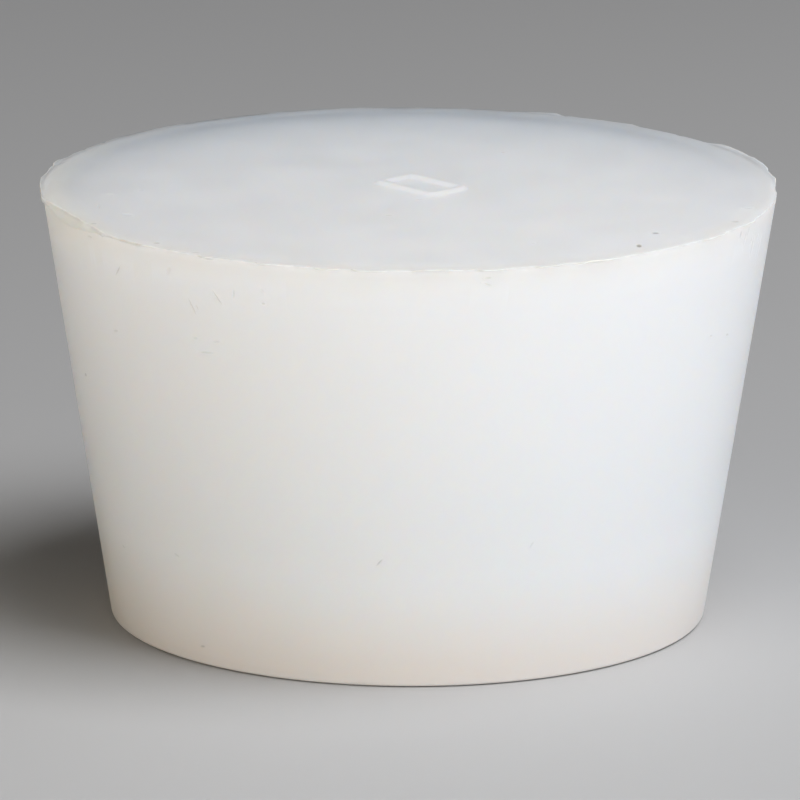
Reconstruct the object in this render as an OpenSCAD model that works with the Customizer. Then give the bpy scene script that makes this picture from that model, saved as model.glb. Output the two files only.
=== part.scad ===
// Solid laboratory stopper: one rubber moulding, a truncated cone that plugs
// the neck of a bottle or flask.
// The origin is the centre of the small face, and +Z points to the large face.
// The mould parts at the large face, so a thin flash is left round that edge.
// It was snipped off by hand with straight cuts, so it differs in width and
// thickness from snip to snip. In places it is cut right back to the taper and
// only narrow slivers are left, or it curls up above the face. One stretch was
// pared back with a knife.

/* [Body] */
// Diameter of the taper where it meets the large face
large_d = 56; // [50:0.5:90]
// Diameter of the small face, measured across its sharp edge
small_d = 45.6; // [20:0.1:49]
// Distance between the two faces
body_h = 33.2; // [20:0.1:60]

/* [Small end] */
// Radius on the edge of the small face
foot_r = 0.3; // [0.1:0.05:1]

/* [Flash at the large end] */
// Thickness of the flash where it is thickest, down from the large face
flash_t = 0.35; // [0.15:0.05:0.6]
// Furthest that a corner of the snipped flash stands out from the taper
flash_w = 0.5; // [0.2:0.05:0.8]
// Height of the tallest curled burr above the large face
burr_h = 0.3; // [0.1:0.05:0.5]
// How far in from the edge of the taper a burr starts to curl
burr_in = 0.3; // [0.1:0.05:0.6]
// Turns the pattern of snips and the pared stretch round the axis, in degrees
trim_turn = 0; // [0:5:355]

/* [Pared stretch] */
// How far the knife came in from the rim on the large face
pare_in = 0.7; // [0.3:0.05:1.5]
// How far the knife went down the side
pare_down = 0.6; // [0.4:0.05:1.5]

/* [Hidden] */
$fn = 180;

large_r = large_d / 2;
small_r = small_d / 2;

// Slope of the side: growth of the radius for each millimetre of height
taper = (large_r - small_r) / body_h;
// Angle between the side and the axis
taper_angle = atan(taper);

// Corners of the snipped flash round the back and the sides: azimuth in
// degrees, how far the corner stands out as a share of flash_w, and the
// thickness of the flash from there to the next corner as a share of flash_t.
// Each snip is a straight chord from corner to corner, so its middle runs close
// to the taper itself. A corner with a share below zero lies inside the taper:
// no flash is left there.
SNIPS = [
  [5, -0.2, 0.5], [7, 0.5, 0.5], [12, 0.4, 0.4], [14, 0.8, 0.4], [20, 0.7, 0.4],
  [31, 0.6, 0.6], [37, -0.2, 0.7], [49, -0.2, 0.4], [52, 0.9, 0.4],
  [58, 0.8, 0.5], [63, 0.6, 0.4], [64, 0.2, 0.4], [66, 1, 0.5], [72, 0.2, 0.5],
  [75, -0.2, 0.7], [79, -0.2, 0.9], [81, 0.5, 0.7], [89, 0.4, 0.7],
  [91, -0.2, 0.6], [98, 0.6, 0.5], [101, 0.6, 0.7], [113, 0.5, 0.7],
  [115, -0.2, 0.9], [128, -0.2, 0.7], [130, 0.4, 0.7], [134, 0.5, 0.6],
  [142, 0.3, 0.4], [144, 0.6, 0.5], [151, 0.3, 0.6], [153, 0.6, 0.4],
  [162, 0.5, 0.5], [164, 0.8, 0.4], [167, 0.6, 0.5], [175, 0.7, 0.5],
  [183, 0.4, 0.7], [191, 0.7, 0.9], [216, 0.5, 0.6], [225, 0.4, 0.3]
];

// Slivers that the snips left at the front: first and last azimuth in degrees,
// how far they stand out as a share of flash_w, and their thickness as a share
// of flash_t
SLIVERS = [
  [236, 239, 0.7, 0.3], [246, 249, 0.7, 0.3], [255, 260, 0.5, 0.4],
  [261, 267, 0.8, 0.4], [270, 277, 0.5, 0.3], [280, 285, 0.7, 0.4],
  [289, 294, 0.6, 0.5], [296, 305, 0.5, 0.4], [321, 328, 0.5, 0.5],
  [333, 338, 0.4, 0.4]
];
SLIVER_END = 1;

// Curled burrs: azimuth of the middle and half the width in degrees, and the
// height of the middle as a share of burr_h
BURRS = [
  [16.5, 3, 0.7], [26, 5.5, 0.8], [60, 5.5, 0.25], [104, 5, 0.2],
  [157, 2.5, 0.3], [168, 4.6, 1], [274, 3.5, 0.35], [299, 1.5, 0.2]
];

// Azimuth of the middle of the pared stretch
PARE_AT = 203;

// Radius of the side at height z
function side_r(z) = small_r + taper * z;

// Foot fillet: it touches the small face and the taper, so its centre lies
// foot_r above the face and foot_r inside the side, measured square to it.
foot_centre_r = side_r(foot_r) - foot_r / cos(taper_angle);
FOOT_STEPS = 8;

function foot_point(i) =
  let (a = -90 + (90 - taper_angle) * i / FOOT_STEPS)
  [foot_centre_r + foot_r * cos(a), foot_r + foot_r * sin(a)];

// Half section of the moulding, from the axis out and up to the large face
module half_section() {
  foot = [for (i = [0:FOOT_STEPS]) foot_point(i)];
  polygon(concat([[0, 0]], foot, [[large_r, body_h], [0, body_h]]));
}

module tapered_body() {
  rotate_extrude()
    half_section();
}

// A sliver starts and ends inside the taper, and comes out within SLIVER_END
function sliver_corners(v) = [
  [v[0], -0.2, v[3]], [v[0] + SLIVER_END, v[2], v[3]],
  [v[1] - SLIVER_END, v[2], v[3]], [v[1], -0.2, v[3]]
];

RIM = concat(SNIPS, [for (v = SLIVERS) each sliver_corners(v)]);

function corner(i) =
  let (c = RIM[i % len(RIM)])
  (large_r + flash_w * c[1]) * [cos(c[0]), sin(c[0])];

// Sheet of flash from one corner to the next and in to the axis
module sheet(i) {
  thick = flash_t * RIM[i][2];
  translate([0, 0, body_h - thick])
    linear_extrude(thick)
      polygon([[0, 0], corner(i), corner(i + 1)]);
}

module snipped_flash() {
  for (i = [0:len(RIM) - 1])
    sheet(i);
}

// One curled burr. It is rooted in the flash and ends at the snipped outline,
// its back slopes in to the large face, and its crest is an arc that runs out
// to nothing at both ends.
module burr(azimuth, half_width, height) {
  root = height / 4;
  tall = root + 1.5 * height;
  back_slope = (burr_in + flash_w / 2) / height;
  back_r = large_r - burr_in - back_slope * root;
  half_chord = large_r * sin(half_width);
  crest_r = (half_chord * half_chord + height * height) / (2 * height);
  intersection() {
    translate([0, 0, body_h - root])
      difference() {
        linear_extrude(tall)
          polygon([for (i = [0:len(RIM) - 1]) corner(i)]);
        cylinder(h = tall, r1 = back_r, r2 = back_r + back_slope * tall);
      }
    rotate([0, 0, azimuth])
      translate([0, 0, body_h + height - crest_r])
        rotate([0, 90, 0])
          cylinder(h = large_d, r = crest_r);
  }
}

module curled_burrs() {
  for (b = BURRS)
    burr(b[0], b[1], burr_h * b[2]);
}

// Everything outside the knife's plane, which runs from pare_in inside the rim
// on the large face to pare_down below it on the side
module knife() {
  reach = large_d;
  run = pare_in - taper * pare_down;
  rotate([0, 0, PARE_AT])
    translate([large_r - pare_in, 0, body_h])
      rotate([0, atan2(pare_down, run), 0])
        translate([-reach, -reach / 2, 0])
          cube(reach * [2, 1, 1]);
}

module stopper() {
  color([0.93, 0.93, 0.91])
    rotate([0, 0, trim_turn])
      difference() {
        union() {
          tapered_body();
          snipped_flash();
          curled_burrs();
        }
        knife();
      }
}

stopper();
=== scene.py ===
"""Looks of the solid silicone stopper: one translucent milky moulding on a pale floor."""

import math

import bmesh
import bpy
from mathutils import Matrix, Vector, kdtree, noise


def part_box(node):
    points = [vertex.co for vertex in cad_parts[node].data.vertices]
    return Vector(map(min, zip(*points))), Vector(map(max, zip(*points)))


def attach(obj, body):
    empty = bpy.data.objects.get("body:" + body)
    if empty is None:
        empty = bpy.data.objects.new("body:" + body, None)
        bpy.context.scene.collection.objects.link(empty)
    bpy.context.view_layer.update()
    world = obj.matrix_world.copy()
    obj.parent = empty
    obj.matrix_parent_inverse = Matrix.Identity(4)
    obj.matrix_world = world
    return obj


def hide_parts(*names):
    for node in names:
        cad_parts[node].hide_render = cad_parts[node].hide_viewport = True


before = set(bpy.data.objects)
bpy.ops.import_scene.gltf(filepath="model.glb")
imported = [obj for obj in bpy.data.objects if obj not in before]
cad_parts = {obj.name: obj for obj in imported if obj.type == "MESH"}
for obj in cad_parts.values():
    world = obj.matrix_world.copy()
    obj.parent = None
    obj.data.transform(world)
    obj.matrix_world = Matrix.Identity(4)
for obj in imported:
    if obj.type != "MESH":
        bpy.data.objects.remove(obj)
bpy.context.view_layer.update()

MM = 0.001
TURN = 2 * math.pi

# ---------------------------------------------------------------- camera

LENS = 432.5  # mm, on a sensor 36 mm wide
CAMERA_DISTANCE = 736.5 * MM
CAMERA_ELEVATION = math.radians(14.04)
CAMERA_ROLL = math.radians(0.25)
# How far right of and above the middle of the picture the stopper stands
FRAME_RIGHT = 0.66 * MM
FRAME_UP = 0.19 * MM


def make_camera(target):
    data = bpy.data.cameras.new("camera")
    data.lens = LENS
    data.sensor_width = 36
    camera = bpy.data.objects.new("camera", data)
    bpy.context.scene.collection.objects.link(camera)
    back = Vector((0, -math.cos(CAMERA_ELEVATION), math.sin(CAMERA_ELEVATION)))
    up = Vector((0, math.sin(CAMERA_ELEVATION), math.cos(CAMERA_ELEVATION)))
    place = target + CAMERA_DISTANCE * back
    aim = target - FRAME_RIGHT * Vector((1, 0, 0)) - FRAME_UP * up
    turn = (aim - place).to_track_quat("-Z", "Y").to_matrix().to_4x4()
    camera.matrix_world = Matrix.Translation(place) @ turn @ Matrix.Rotation(CAMERA_ROLL, 4, "Z")
    data.clip_start = 0.01
    data.clip_end = 20
    bpy.context.scene.camera = camera


FOOT_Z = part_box("stopper")[0].z
BODY_H = 33.2 * MM
FACE_Z = FOOT_Z + BODY_H
make_camera(Vector((0, 0, FOOT_Z + BODY_H / 2)))

# ---------------------------------------------------------------- form of the moulding

# The same sizes as in the CAD model
LARGE_R = 28 * MM
SMALL_R = 22.8 * MM
FOOT_R = 0.3 * MM
FLASH_T = 0.35 * MM
FLASH_W = 0.5 * MM
BURR_H = 0.3 * MM
BURR_IN = 0.3 * MM
TAPER = (LARGE_R - SMALL_R) / BODY_H

# Corners of the snipped flash round the back and the sides: azimuth in degrees, the share of
# FLASH_W that it stands out, and the share of FLASH_T from there to the next corner. Below zero no
# flash is left.
SNIPS = [
    (1, -0.1, 0.5), (7, 0.45, 0.5), (12, 0.3, 0.4), (14, 0.8, 0.4), (20, 0.65, 0.4), (22, 0.45, 0.4),
    (24, 0.65, 0.4), (31, 0.6, 0.6), (37, -0.2, 0.7), (49, -0.2, 0.4), (52, 0.7, 0.4), (58, 0.4, 0.5),
    (63, 0.3, 0.4), (64, 0, 0.4), (66, 0.9, 0.5), (72, 0.2, 0.5), (75, -0.2, 0.7), (79, -0.2, 0.9),
    (81, 0.2, 0.7), (89, 0.2, 0.7), (91, -0.2, 0.6), (98, 0.6, 0.5), (101, 0.5, 0.7), (113, 0.4, 0.7),
    (115, -0.2, 0.9), (128, -0.2, 0.7), (130, 0.4, 0.7), (134, 0.4, 0.6), (142, 0.2, 0.4), (144, 0.5, 0.5),
    (151, 0.25, 0.6), (154, 0.3, 0.4), (157, 0.4, 0.4), (160, 0.3, 0.5), (162, 0.8, 0.4), (165, 0.85, 0.5),
    (166, 0.55, 0.4), (169, 0.5, 0.5), (171, 0.3, 0.4), (175, 0.65, 0.5), (179, 0.4, 0.6),
    (187, 0.35, 0.7), (191, 0.6, 0.9), (216, 0.5, 0.6), (225, 0.4, 0.3),
]

INSIDE = -0.2
SLIVER_END = 1

# Slivers left at the front: first and last azimuth, then the same two shares. Each rises from
# INSIDE to its share over SLIVER_END degrees at both ends.
SLIVERS = [
    (236, 239, 0.7, 0.3), (246, 249, 0.7, 0.3), (255, 260, 0.5, 0.4), (261, 267, 0.8, 0.4),
    (270, 277, 0.5, 0.3), (280, 285, 0.7, 0.4), (289, 294, 0.6, 0.5), (296, 305, 0.5, 0.4),
    (321, 328, 0.5, 0.5), (333, 338, 0.4, 0.4),
]

# Curled burrs: azimuth and half width in degrees, and the share of BURR_H in the middle
BURRS = [
    (24, 10, 0.6), (68, 3, 0.2), (164, 2, 0.2), (274, 3.5, 0.35), (299, 1.5, 0.2),
]

# Nicks in the edge: azimuth and half width in degrees, and how deep
NICKS = [
    (0, 3, 0.15 * MM), (41, 1, 0.1 * MM), (86, 0.8, 0.08 * MM), (123, 1, 0.1 * MM), (148, 0.7, 0.1 * MM),
    (154, 0.7, 0.12 * MM), (187, 0.9, 0.08 * MM), (252, 0.8, 0.1 * MM), (288, 0.7, 0.08 * MM),
    (311, 0.9, 0.1 * MM), (345, 1.2, 0.08 * MM),
]

# The stretch that was pared with a knife
PARE_AT = math.radians(203)
PARE_IN = 0.7 * MM
PARE_DOWN = 0.6 * MM

# How far down from the large face the burrs, the nicks and the wear of a bare edge reach
BURR_DEPTH = 0.35 * MM
NICK_DEPTH = 0.4 * MM
WEAR_DEPTH = 0.06 * MM
# Height over which the underside of the flash runs in to the side
FLASH_STEP = 0.06 * MM
# Flash that stands out this far looks freshly cut, and so does the large face this far in from it
FRESH_OUT = 0.1 * MM
# How far in on the large face, and how far down the side, wear and painted shade darken the edge
WORN_IN = 0.2 * MM
WORN_DOWN = 0.35 * MM


def side_r(z):
    """Radius of the taper at height z."""
    return SMALL_R + TAPER * z


def smooth(x):
    """0 below 0, 1 above 1, and an S curve between."""
    x = min(1.0, max(0.0, x))
    return x * x * (3 - 2 * x)


def off_by(angle, azimuth):
    """How many degrees an angle lies from an azimuth, whichever way round is shorter."""
    return abs(math.degrees((angle - math.radians(azimuth) + math.pi) % TURN - math.pi))


def ripple(angle, wavelength, seed):
    """Noise from -1 to 1 that runs round the axis with about this wavelength in metres."""
    k = LARGE_R / wavelength
    return noise.noise(Vector((k * math.cos(angle), k * math.sin(angle), seed)))


def corner_points():
    """Corners round the axis in order: angle, place, and the thickness of the flash after each."""
    corners = list(SNIPS)
    for first, last, out, thickness in SLIVERS:
        corners += [(first, INSIDE, thickness), (first + SLIVER_END, out, thickness)]
        corners += [(last - SLIVER_END, out, thickness), (last, INSIDE, thickness)]
    points = []
    for azimuth, out, thickness in corners:
        a = math.radians(azimuth)
        r = LARGE_R + out * FLASH_W
        points.append((a, r * math.cos(a), r * math.sin(a), thickness * FLASH_T))
    return points


CORNERS = corner_points()


def snip(angle):
    """Distance from the axis to the snipped outline, and the thickness of the flash."""
    angle %= TURN
    after = next((i for i, c in enumerate(CORNERS) if c[0] > angle), 0)
    _, bx, by, _ = CORNERS[after]
    _, ax, ay, thickness = CORNERS[after - 1]
    dx, dy = bx - ax, by - ay
    outline = (ax * dy - ay * dx) / (math.cos(angle) * dy - math.sin(angle) * dx)
    outline += 0.05 * MM * ripple(angle, 1.6 * MM, 1.3) + 0.03 * MM * ripple(angle, 0.5 * MM, 7.7)
    return outline, thickness * (1 + 0.5 * ripple(angle, 3 * MM, 2.9))


def pared_r(angle, depth):
    """Distance from the axis to the knife's plane at this depth under the large face."""
    facing = math.cos(angle - PARE_AT)
    if facing < 0.5:
        return math.inf
    run = PARE_IN - TAPER * PARE_DOWN
    chatter = 0.06 * MM * ripple(angle, 1.2 * MM, depth / (0.5 * MM))
    return (LARGE_R - PARE_IN + run * depth / PARE_DOWN + chatter) / facing


def lift(angle, radius):
    """How far the flash curls up above the large face, from BURR_IN inside the taper's edge."""
    slope = smooth((radius - LARGE_R + BURR_IN) / (BURR_IN + FLASH_W / 2))
    crest = sum(
        BURR_H * share * max(0.0, 1 - (off_by(angle, azimuth) / half) ** 4)
        for azimuth, half, share in BURRS
    )
    return slope * crest * (1 + 0.3 * ripple(angle, 1.2 * MM, 5.1))


def nicked(angle):
    """How deep the edge is nicked."""
    return sum(
        deep * max(0.0, 1 - (off_by(angle, azimuth) / half) ** 2)
        for azimuth, half, deep in NICKS
    )


def rim(angle, depth):
    """Radius of the outside at this depth under the large face, and how freshly cut it is."""
    body = side_r(BODY_H - depth)
    outline, thickness = snip(angle)
    out = max(0.0, outline - body)
    share = 1 - smooth((depth - thickness) / FLASH_STEP + 0.5)
    fresh = smooth(out / FRESH_OUT)
    wear = (0.02 + 0.02 * ripple(angle, 1.1 * MM, 9.1)) * MM
    worn = wear * (1 - fresh) * max(0.0, 1 - depth / WEAR_DEPTH)
    radius = body + out * share - worn - nicked(angle) * max(0.0, 1 - depth / NICK_DEPTH)
    pared = pared_r(angle, depth)
    if pared < radius:
        return pared, smooth(0.6 + 1.2 * ripple(angle, 2 * MM, 6.2))
    return radius, share * fresh


# ---------------------------------------------------------------- raised frame on the large face

# Its middle, turn, half sizes and corner radius, and the bead's width, height and sloping flank
MARK_AT = Vector((0.9, 0.2)) * MM
MARK_TURN = math.radians(-47)
MARK_HALF = Vector((2.9, 1.7)) * MM
MARK_CORNER = 0.5 * MM
MARK_BEAD = 1.2 * MM
MARK_HEIGHT = 0.25 * MM
MARK_FLANK = 0.4 * MM


def mark_height(x, y):
    """Height of the blank raised frame: a rounded bead along a rounded rectangle."""
    dx, dy = x - MARK_AT.x, y - MARK_AT.y
    c, s = math.cos(MARK_TURN), math.sin(MARK_TURN)
    px, py = abs(c * dx + s * dy), abs(-s * dx + c * dy)
    qx, qy = px - MARK_HALF.x + MARK_CORNER, py - MARK_HALF.y + MARK_CORNER
    outside = math.hypot(max(qx, 0), max(qy, 0))
    distance = abs(outside + min(max(qx, qy), 0) - MARK_CORNER)
    return MARK_HEIGHT * smooth((MARK_BEAD / 2 - distance) / MARK_FLANK)


# ---------------------------------------------------------------- rings of the mesh

# Points in a ring. Each count is half the one before, so that neighbouring rings can be joined.
FINE, MEDIUM, COARSE, COARSEST = 1440, 720, 360, 180


def ring(count, place):
    """Points round the axis. place gives the radius, the height, how cut it is, and how far wear and
    painted shade darken it.
    """
    points = []
    for i in range(count):
        a = TURN * i / count
        radius, height, cut, worn = place(a)
        points.append((radius * math.cos(a), radius * math.sin(a), height, cut, worn))
    return points


def plain_ring(count, radius, height):
    return ring(count, lambda a: (radius, height, 0.0, 0.0))


def frame_ring(radius):
    """A ring of the large face that follows the raised frame."""
    def place(a):
        return radius, FACE_Z + mark_height(radius * math.cos(a), radius * math.sin(a)), 0.0, 0.0
    return ring(COARSEST, place)


def face_edge_ring(inside, count=FINE):
    """A ring of the large face, this far in from its edge, that curls up with the burrs."""
    def place(a):
        radius, cut = rim(a, 0)
        flash = 0.5 * smooth((radius - inside - LARGE_R) / FRESH_OUT)
        cut *= max(flash, smooth(1.5 - inside / FRESH_OUT))
        worn = smooth(1 - inside / WORN_IN) ** 2
        return radius - inside, FACE_Z + lift(a, radius - inside), cut, worn
    return ring(count, place)


def rim_ring(depth, count=FINE):
    """A ring of the outside at this depth under the large face."""
    def place(a):
        radius, cut = rim(a, depth)
        height = FACE_Z - depth + lift(a, radius) * max(0.0, 1 - depth / BURR_DEPTH)
        return radius, height, cut, smooth(1 - depth / WORN_DOWN) ** 2
    return ring(count, place)


def top_rings():
    """From the middle of the large face out to its edge."""
    mark_reach = 5.6 * MM
    step = 0.14 * MM
    rings = [frame_ring(i * step) for i in range(1, round(mark_reach / step) + 1)]
    plain = ((COARSEST, (7, 9, 11)), (COARSE, (13, 15, 17, 19)), (MEDIUM, (21, 23, 24.5, 25.5, 26.3)))
    for count, radii in plain:
        rings += [plain_ring(count, radius * MM, FACE_Z) for radius in radii]
    rings += [face_edge_ring(inside * MM, MEDIUM) for inside in (0.9, 0.7)]
    insides = (0.55, 0.42, 0.32, 0.24, 0.17, 0.11, 0.06, 0.02)
    return rings + [face_edge_ring(inside * MM) for inside in insides]


def side_rings():
    """From the rim down to the foot."""
    depths = (0.05, 0.1, 0.15, 0.2, 0.25, 0.3, 0.35, 0.4, 0.46, 0.53, 0.6)
    rings = [rim_ring(depth * MM) for depth in depths]
    rings += [rim_ring(depth * MM, MEDIUM) for depth in (0.7, 0.85, 1.0)]
    top = BODY_H - 1.2 * MM
    bottom = 1.0 * MM
    steps = 12
    for i in range(1, steps):
        z = top * (1 - i / steps) + bottom * i / steps
        rings.append(plain_ring(COARSE, side_r(z), FOOT_Z + z))
    return rings


def foot_rings():
    """Round the foot and in to the middle of the small face."""
    slope = math.atan(TAPER)
    centre_r = side_r(FOOT_R) - FOOT_R / math.cos(slope)
    rings = []
    steps = 8
    for i in range(steps + 1):
        a = -slope - (math.pi / 2 - slope) * i / steps
        radius = centre_r + FOOT_R * math.cos(a)
        rings.append(plain_ring(COARSE, radius, FOOT_Z + FOOT_R + FOOT_R * math.sin(a)))
    for count, radii in ((COARSE, (22, 21, 19, 17)), (COARSEST, (14, 11, 8, 5, 2.5, 1))):
        rings += [plain_ring(count, radius * MM, FOOT_Z) for radius in radii]
    return rings


def bridge(faces, a, b, na, nb):
    """Faces between ring a (na points from index a) outside ring b, in the same order."""
    if na == nb:
        for i in range(na):
            j = (i + 1) % na
            faces.append((a + i, a + j, b + j, b + i))
    elif na > nb:
        for i in range(nb):
            j = (i + 1) % nb
            mid, last = a + 2 * i + 1, a + (2 * i + 2) % na
            faces.append((a + 2 * i, mid, b + i))
            faces.append((mid, b + j, b + i))
            faces.append((mid, last, b + j))
    else:
        for i in range(na):
            j = (i + 1) % na
            mid, last = b + 2 * i + 1, b + (2 * i + 2) % nb
            faces.append((a + i, mid, b + 2 * i))
            faces.append((a + i, a + j, mid))
            faces.append((a + j, last, mid))


def stack_rings(rings):
    """Points and faces of the closed skin over the rings, from the large face to the small."""
    points = [(0, 0, FACE_Z + mark_height(0, 0), 0.0, 0.0)]
    faces = []
    starts = []
    for one in rings:
        starts.append(len(points))
        points.extend(one)
    points.append((0, 0, FOOT_Z, 0.0, 0.0))
    first, last = len(rings[0]), len(rings[-1])
    for i in range(first):
        faces.append((0, 1 + i, 1 + (i + 1) % first))
    for k in range(len(rings) - 1):
        bridge(faces, starts[k + 1], starts[k], len(rings[k + 1]), len(rings[k]))
    for i in range(last):
        faces.append((starts[-1] + i, len(points) - 1, starts[-1] + (i + 1) % last))
    return points, faces


# ---------------------------------------------------------------- scratches and specks

# On the side: azimuth in degrees and height in mm. On the large face: azimuth in degrees and
# distance from the axis in mm. Then length and width in mm, the angle of the length in degrees, from
# level on the side and from +X on the face, and how dirty it is, from 0.25 for the faintest to 2.3
# for the darkest. A speck is about as long as it is wide.
SIDE_MARKS = [
    (218, 30.5, 1, 0.12, -130, 0.9), (230, 31.5, 0.7, 0.3, -115, 0.3), (215, 25.5, 0.6, 0.15, 10, 0.6),
    (234, 29, 1.2, 0.12, -65, 0.9), (235, 29, 0.4, 0.1, -70, 0.6), (239, 30, 1.2, 0.12, -55, 1),
    (242, 30.5, 0.7, 0.15, -95, 0.5), (247, 31, 0.4, 0.15, -50, 0.4), (247, 30, 0.3, 0.2, 0, 0.8),
    (234, 26.5, 0.4, 0.2, 10, 0.5), (238, 26.5, 0.6, 0.15, 10, 0.5), (236, 25.5, 1.2, 0.15, 5, 0.5),
    (265, 10, 0.6, 0.12, 50, 0.9), (292, 11, 0.5, 0.1, 60, 0.4), (328, 25, 0.4, 0.15, -10, 0.6),
    (334, 24.5, 0.4, 0.15, -10, 0.6), (282, 32, 0.6, 0.12, -20, 0.6), (200, 20.5, 0.4, 0.25, 15, 1),
    (206, 7.5, 0.4, 0.12, -25, 0.5), (224, 8.5, 0.5, 0.12, -20, 0.5), (228, 1.5, 0.4, 0.15, 10, 0.9),
    (15, 21, 1.4, 0.12, 70, 0.6), (52, 12, 0.9, 0.12, -35, 0.6), (78, 27, 0.4, 0.2, 0, 0.8),
    (333, 32.5, 0.5, 0.25, 85, 0.7), (338, 31.5, 0.6, 0.15, 75, 0.8), (341, 31.5, 0.8, 0.2, 80, 0.5),
    (343, 30.5, 1.6, 0.3, 80, 0.4), (339, 31, 1.2, 0.3, 85, 0.4), (96, 8, 1.6, 0.12, 15, 0.5),
    (121, 19, 0.9, 0.12, 80, 0.6), (149, 29, 0.6, 0.15, -50, 0.7), (238, 33, 0.8, 0.15, 0, 0.7),
    (211, 32.5, 0.6, 0.15, 0, 0.4), (220, 33, 0.7, 0.15, 0, 0.4), (282, 32.5, 0.4, 0.12, 0, 0.5),
    (335, 32, 1.1, 0.2, 80, 0.4), (336, 32.5, 0.6, 0.3, 85, 0.3),
]
FACE_MARKS = [
    (311, 26, 0.9, 0.36, 90, 2.3), (320, 24, 0.5, 0.5, 0, 1.8), (296, 21, 0.3, 0.3, 0, 0.5),
    (261, 10, 0.5, 0.35, 0, 0.5), (206, 23.5, 0.6, 0.5, 0, 0.4), (59, 14, 0.3, 0.3, 0, 0.5),
    (280, 4.5, 0.5, 0.3, 0, 0.4), (335, 27, 0.5, 0.6, 20, 0.8), (345, 26.5, 0.6, 0.4, 0, 0.5),
    (188, 23, 0.5, 0.2, 0, 0.4), (197, 24.5, 1.6, 0.15, 90, 0.3), (205, 23.5, 0.6, 0.3, 0, 0.25),
    (185, 20.5, 0.3, 0.5, 0, 0.3), (209, 27, 0.4, 0.3, 0, 0.9), (226, 27, 0.5, 0.35, -10, 1.2),
    (235, 27.5, 0.6, 0.3, -10, 0.7),
]
# The mesh is made fine this near to a mark, down to edges of this length
MARK_REACH = 0.3 * MM
MARK_EDGE = 0.06 * MM
SCRATCH_DEPTH = 0.025 * MM
# Half width of the painted shade in the fold behind a burr, and how high a burr is when its fold is fully
# shaded
FOLD_HALF = 0.2 * MM
FOLD_FULL = 0.12 * MM
RIM_REACH = 3 * MM


class Scratch:
    """One scratch: its place, the directions along, across and out of the surface, and its half sizes."""

    def __init__(self, place, level, up, mark):
        _, _, length, width, angle, self.dirt_and_shade = mark
        turn = math.radians(angle)
        self.place = place
        self.along = math.cos(turn) * level + math.sin(turn) * up
        self.out = level.cross(up)
        self.across = self.out.cross(self.along)
        self.half_length = length / 2 * MM
        self.half_width = width / 2 * MM

    def samples(self):
        """Points along it, close enough to find everything near it."""
        count = max(1, round(self.half_length / (0.1 * MM)))
        return [self.place + self.along * self.half_length * i / count for i in range(-count, count + 1)]

    def reach(self, point):
        """0 in the middle, 1 at the scratch's edge, more outside."""
        off = point - self.place
        return math.hypot(off.dot(self.along) / self.half_length, off.dot(self.across) / self.half_width)


def side_scratch(mark):
    a, z = math.radians(mark[0]), mark[1] * MM
    out = Vector((math.cos(a), math.sin(a), 0))
    level = Vector((-math.sin(a), math.cos(a), 0))
    up = (Vector((0, 0, 1)) + TAPER * out).normalized()
    return Scratch(side_r(z) * out + Vector((0, 0, FOOT_Z + z)), level, up, mark)


def face_scratch(mark):
    a, radius = math.radians(mark[0]), mark[1] * MM
    place = Vector((radius * math.cos(a), radius * math.sin(a), FACE_Z))
    return Scratch(place, Vector((1, 0, 0)), Vector((0, 1, 0)), mark)


def refine_near(skin, tree):
    """Splits the edges near the tree's points until none there is longer than MARK_EDGE."""
    edges = True
    while edges:
        edges = []
        for edge in skin.edges:
            a, b = edge.verts[0].co, edge.verts[1].co
            length = (a - b).length
            if length > MARK_EDGE and tree.find((a + b) / 2)[2] < MARK_REACH + length / 2:
                edges.append(edge)
        bmesh.ops.subdivide_edges(skin, edges=edges, cuts=1, use_grid_fill=True)


def press_scratches(mesh):
    """Makes the mesh fine round each scratch, presses the scratch in and stores its dirt on the points."""
    scratches = [side_scratch(mark) for mark in SIDE_MARKS] + [face_scratch(mark) for mark in FACE_MARKS]
    samples = [(point, scratch) for scratch in scratches for point in scratch.samples()]
    tree = kdtree.KDTree(len(samples))
    for i, (point, _) in enumerate(samples):
        tree.insert(point, i)
    tree.balance()
    skin = bmesh.new()
    skin.from_mesh(mesh)
    refine_near(skin, tree)
    dirt_and_shade = skin.verts.layers.float.new("dirt_and_shade")
    for vert in skin.verts:
        _, i, distance = tree.find(vert.co)
        if distance > MARK_REACH:
            continue
        scratch = samples[i][1]
        # A groove with sloping sides and a low lip round it
        reach = scratch.reach(vert.co)
        groove = smooth(1.5 - reach)
        lip = 0.4 * smooth(1 - abs(reach - 1.8) / 0.8)
        vert[dirt_and_shade] = scratch.dirt_and_shade * groove
        vert.co += scratch.out * SCRATCH_DEPTH * (lip - groove)
    skin.to_mesh(mesh)
    skin.free()


def painted_fold_shade(point):
    """Painted shade in the fold behind flash that curls up."""
    angle = math.atan2(point.y, point.x)
    fold = 1 - abs(math.hypot(point.x, point.y) - LARGE_R + BURR_IN / 2) / FOLD_HALF
    if fold < 0 or point.z < FACE_Z - 0.02 * MM:
        return 0.0
    return smooth(fold) * min(1.0, lift(angle, LARGE_R + FLASH_W / 2) / FOLD_FULL)


def rim_nearness(point):
    """1 on the edge of the large face, falling to 0 at RIM_REACH from it."""
    off = math.hypot(math.hypot(point.x, point.y) - LARGE_R, point.z - FACE_Z)
    return smooth(1 - off / RIM_REACH)


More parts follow.
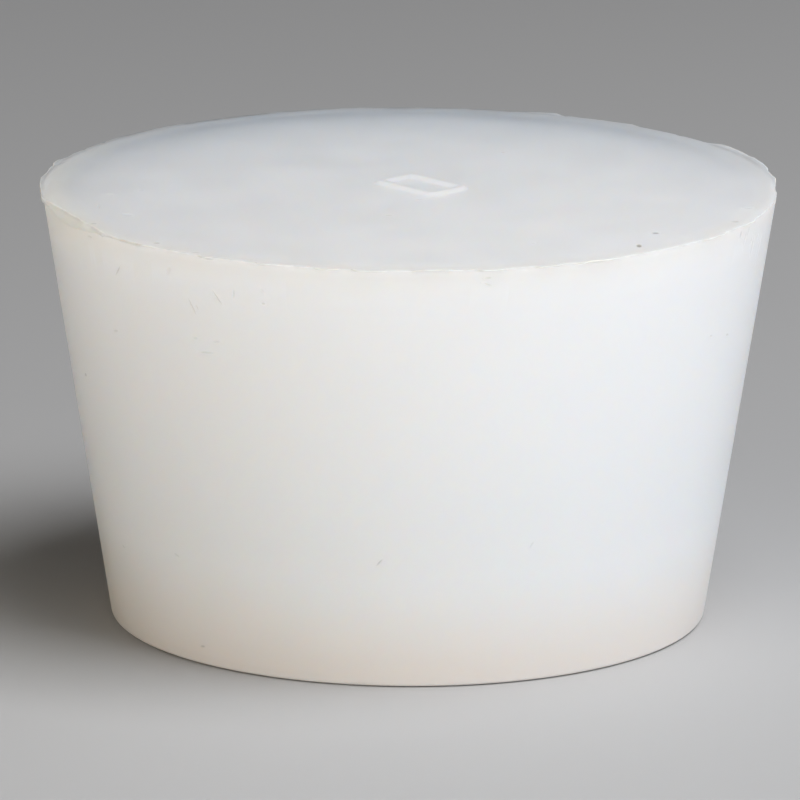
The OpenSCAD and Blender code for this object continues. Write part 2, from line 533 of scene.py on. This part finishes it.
def make_body():
    points, faces = stack_rings(top_rings() + side_rings() + foot_rings())
    mesh = bpy.data.meshes.new("stopper_body")
    mesh.from_pydata([point[:3] for point in points], [], faces)
    mesh.validate()
    for name, k in (("cut", 3), ("worn", 4)):
        values = mesh.attributes.new(name, "FLOAT", "POINT")
        values.data.foreach_set("value", [point[k] for point in points])
    press_scratches(mesh)
    dirt_and_shade = mesh.attributes["dirt_and_shade"].data
    for vert in mesh.vertices:
        # Painted shade in the fold behind curled flash joins the scratches' dirt in one layer.
        dirt_and_shade[vert.index].value = max(dirt_and_shade[vert.index].value, painted_fold_shade(vert.co))
    near = mesh.attributes.new("near_rim", "FLOAT", "POINT")
    near.data.foreach_set("value", [rim_nearness(vert.co) for vert in mesh.vertices])
    mesh.shade_smooth()
    body = bpy.data.objects.new("stopper_body", mesh)
    bpy.context.scene.collection.objects.link(body)
    return body


# ---------------------------------------------------------------- material

class Nodes:
    """Short calls for building one material's node tree."""

    def __init__(self, material):
        material.use_nodes = True
        self.tree = material.node_tree
        self.shader = self.tree.nodes["Principled BSDF"]

    def add(self, kind, inputs=(), **settings):
        """A node. inputs are (socket name or number, value or another node's output) pairs."""
        node = self.tree.nodes.new(kind)
        for name, value in settings.items():
            setattr(node, name, value)
        for socket, value in inputs:
            if isinstance(value, bpy.types.NodeSocket):
                self.tree.links.new(value, node.inputs[socket])
            else:
                node.inputs[socket].default_value = value
        return node

    def maths(self, operation, a, b=0.0):
        return self.add("ShaderNodeMath", ((0, a), (1, b)), operation=operation).outputs[0]

    def ramp(self, value, low_in, high_in, low_out=0.0, high_out=1.0):
        """value taken smoothly from one range to another, and held at its ends."""
        node = self.add("ShaderNodeMapRange", (
            ("Value", value), ("From Min", low_in), ("From Max", high_in),
            ("To Min", low_out), ("To Max", high_out)), interpolation_type="SMOOTHSTEP")
        return node.outputs["Result"]

    def noise(self, where, size, detail=2.0):
        """Noise from 0 to 1 whose grains are about this size in metres."""
        node = self.add("ShaderNodeTexNoise", (
            ("Vector", where), ("Scale", 1 / size), ("Detail", detail)))
        return node.outputs["Fac"]

    def tint(self, share, under, over, blend="MIX"):
        """under where share is 0, over where it is 1. Each is a colour or an output."""
        # A mix node has sockets for each kind of value: inputs 6 and 7 and output 2 are the colours
        inputs = (("Factor", share), (6, under), (7, over))
        return self.add("ShaderNodeMix", inputs, data_type="RGBA", blend_type=blend).outputs[2]

    def attribute(self, name):
        return self.add("ShaderNodeAttribute", attribute_name=name).outputs["Fac"]

    def link(self, output, socket):
        self.tree.links.new(output, self.shader.inputs[socket])


def silicone():
    """Milky silicone rubber with painted shade, darker and warmer toward the foot, where light also goes
    less far.
    """
    material = bpy.data.materials.new("milky_silicone")
    nodes = Nodes(material)
    shader = nodes.shader
    shader.subsurface_method = "RANDOM_WALK"
    shader.inputs["IOR"].default_value = 1.41
    shader.inputs["Specular IOR Level"].default_value = 0.25
    shader.inputs["Subsurface Radius"].default_value = (1.0, 0.84, 0.7)

    where = nodes.add("ShaderNodeTexCoord").outputs["Object"]
    across, _, height = nodes.add("ShaderNodeSeparateXYZ", ((0, where),)).outputs
    dirt_and_shade = nodes.attribute("dirt_and_shade")
    cut = nodes.attribute("cut")
    near_rim = nodes.attribute("near_rim")
    worn = nodes.attribute("worn")

    # How far light goes: less at the foot, at the rim and in a cut
    far = nodes.ramp(height, 0, 16 * MM, 0.5 * MM, 30 * MM)
    far = nodes.maths("MULTIPLY", far, nodes.ramp(near_rim, 0, 1, 1.0, 0.25))
    nodes.link(nodes.maths("MULTIPLY", far, nodes.ramp(cut, 0, 1, 1.0, 0.04)), "Subsurface Scale")
    nodes.link(nodes.ramp(height, 0, 1 * MM, 0.4, 1.0), "Subsurface Weight")

    # Colour: faint clouds in the rubber, painted shade that makes the foot and the rim darker and warmer,
    # a painted warm cast of light on one side, yellower cuts, patchy wear darkened further by painted
    # shade along the edge, dirt in the scratches, and painted shade in the fold behind curled flash
    cloud = nodes.ramp(nodes.noise(where, 11 * MM), 0.35, 0.65)
    colour = nodes.tint(cloud, (0.98, 0.985, 0.985, 1), (0.975, 0.975, 0.975, 1))
    # Painted shade: the colour turns darker and warmer toward the foot.
    colour = nodes.tint(nodes.ramp(height, 0, 12 * MM), (0.84, 0.79, 0.745, 1), colour)
    # Painted shade: a darker, warmer band along the rim.
    colour = nodes.tint(near_rim, colour, (0.885, 0.87, 0.835, 1))
    # Painted light: a warm cast over the left side (-X), as from a warm lamp there.
    painted_warm_side = nodes.ramp(nodes.maths("MULTIPLY", across, -1.0), 18 * MM, 28 * MM)
    colour = nodes.tint(painted_warm_side, colour, (1, 0.985, 0.92, 1), "MULTIPLY")
    colour = nodes.tint(cut, colour, (0.9, 0.89, 0.83, 1))
    # Part wear, part painted shade: a patchy, darker band along the edge.
    patchy = nodes.ramp(nodes.noise(where, 1.5 * MM), 0.4, 0.6, 0.4, 1.0)
    colour = nodes.tint(nodes.maths("MULTIPLY", worn, patchy), colour, (0.74, 0.725, 0.69, 1))
    # Dirt in the scratches, and painted shade in the fold behind curled flash.
    colour = nodes.tint(nodes.maths("MULTIPLY", dirt_and_shade, 0.3), colour, (0.16, 0.14, 0.11, 1))
    nodes.link(colour, "Base Color")

    # Gloss: satin from the mould, with duller handling smudges
    smudge = nodes.noise(where, 5 * MM, 4.0)
    rough = nodes.ramp(smudge, 0.3, 0.7, 0.29, 0.38)
    rough = nodes.maths("MAXIMUM", rough, nodes.ramp(near_rim, 0.8, 1, 0.2, 0.5))
    nodes.link(nodes.maths("MAXIMUM", rough, nodes.maths("MULTIPLY", cut, 0.7)), "Roughness")

    # Relief: the mould's fine grain and slow waves
    grain = nodes.maths("MULTIPLY", nodes.noise(where, 0.22 * MM), 0.004 * MM)
    waves = nodes.maths("MULTIPLY", nodes.noise(where, 3.5 * MM), 0.02 * MM)
    relief = nodes.maths("ADD", grain, waves)
    bump = nodes.add("ShaderNodeBump", (("Strength", 1.0), ("Distance", 1.0), ("Height", relief)))
    nodes.link(bump.outputs["Normal"], "Normal")
    return material


# ---------------------------------------------------------------- studio

def matte(name, colour):
    material = bpy.data.materials.new(name)
    material.use_nodes = True
    shader = material.node_tree.nodes["Principled BSDF"]
    shader.inputs["Base Color"].default_value = (*colour, 1)
    shader.inputs["Roughness"].default_value = 0.7
    return material


def make_floor():
    """A pale floor just under the stopper, so that light can leave through the small face."""
    reach, z = 4.0, FOOT_Z - 0.05 * MM
    corners = [(-reach, -reach, z), (reach, -reach, z), (reach, reach, z), (-reach, reach, z)]
    mesh = bpy.data.meshes.new("floor")
    mesh.from_pydata(corners, [], [(0, 1, 2, 3)])
    floor = bpy.data.objects.new("floor", mesh)
    bpy.context.scene.collection.objects.link(floor)
    floor.data.materials.append(matte("floor_paper", (0.5, 0.5, 0.5)))


def softbox(name, azimuth, elevation, distance, size, watts, colour):
    """A square area light that looks at the stopper. Azimuth 0 is the camera's side, 90 the right."""
    data = bpy.data.lights.new(name, "AREA")
    data.shape = "SQUARE"
    data.size = size
    data.energy = watts
    data.color = colour
    light = bpy.data.objects.new(name, data)
    bpy.context.scene.collection.objects.link(light)
    a, e = math.radians(azimuth), math.radians(elevation)
    away = Vector((math.sin(a) * math.cos(e), -math.cos(a) * math.cos(e), math.sin(e)))
    target = Vector((0, 0, BODY_H / 2))
    light.location = target + distance * away
    light.rotation_euler = (-away).to_track_quat("-Z", "Y").to_euler()
    light.visible_camera = False


def make_studio():
    make_floor()
    # Azimuth, elevation, distance, size, power and colour
    softbox("top", 60, 65, 0.7, 0.45, 4.15, (0.99, 0.99, 1))
    softbox("near_left", -40, 5, 0.28, 0.22, 0.36, (1, 0.97, 0.91))
    softbox("near_right", 45, 5, 0.28, 0.22, 0.35, (0.93, 0.96, 1))
    softbox("front", 0, 5, 0.28, 0.22, 0.05, (0.98, 1, 0.98))
    softbox("right", 80, 35, 0.28, 0.22, 0.1, (0.82, 0.88, 1))
    softbox("warm_left", -60, 5, 0.7, 0.45, 0.28, (1, 0.57, 0.05))
    world = bpy.data.worlds.new("studio")
    bpy.context.scene.world = world
    world.use_nodes = True
    background = world.node_tree.nodes["Background"]
    background.inputs["Color"].default_value = (1, 1, 1, 1)
    background.inputs["Strength"].default_value = 0.01
    bpy.context.scene.view_settings.view_transform = "Standard"


body = make_body()
body.data.materials.append(silicone())
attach(body, "root")
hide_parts("stopper")
make_studio()
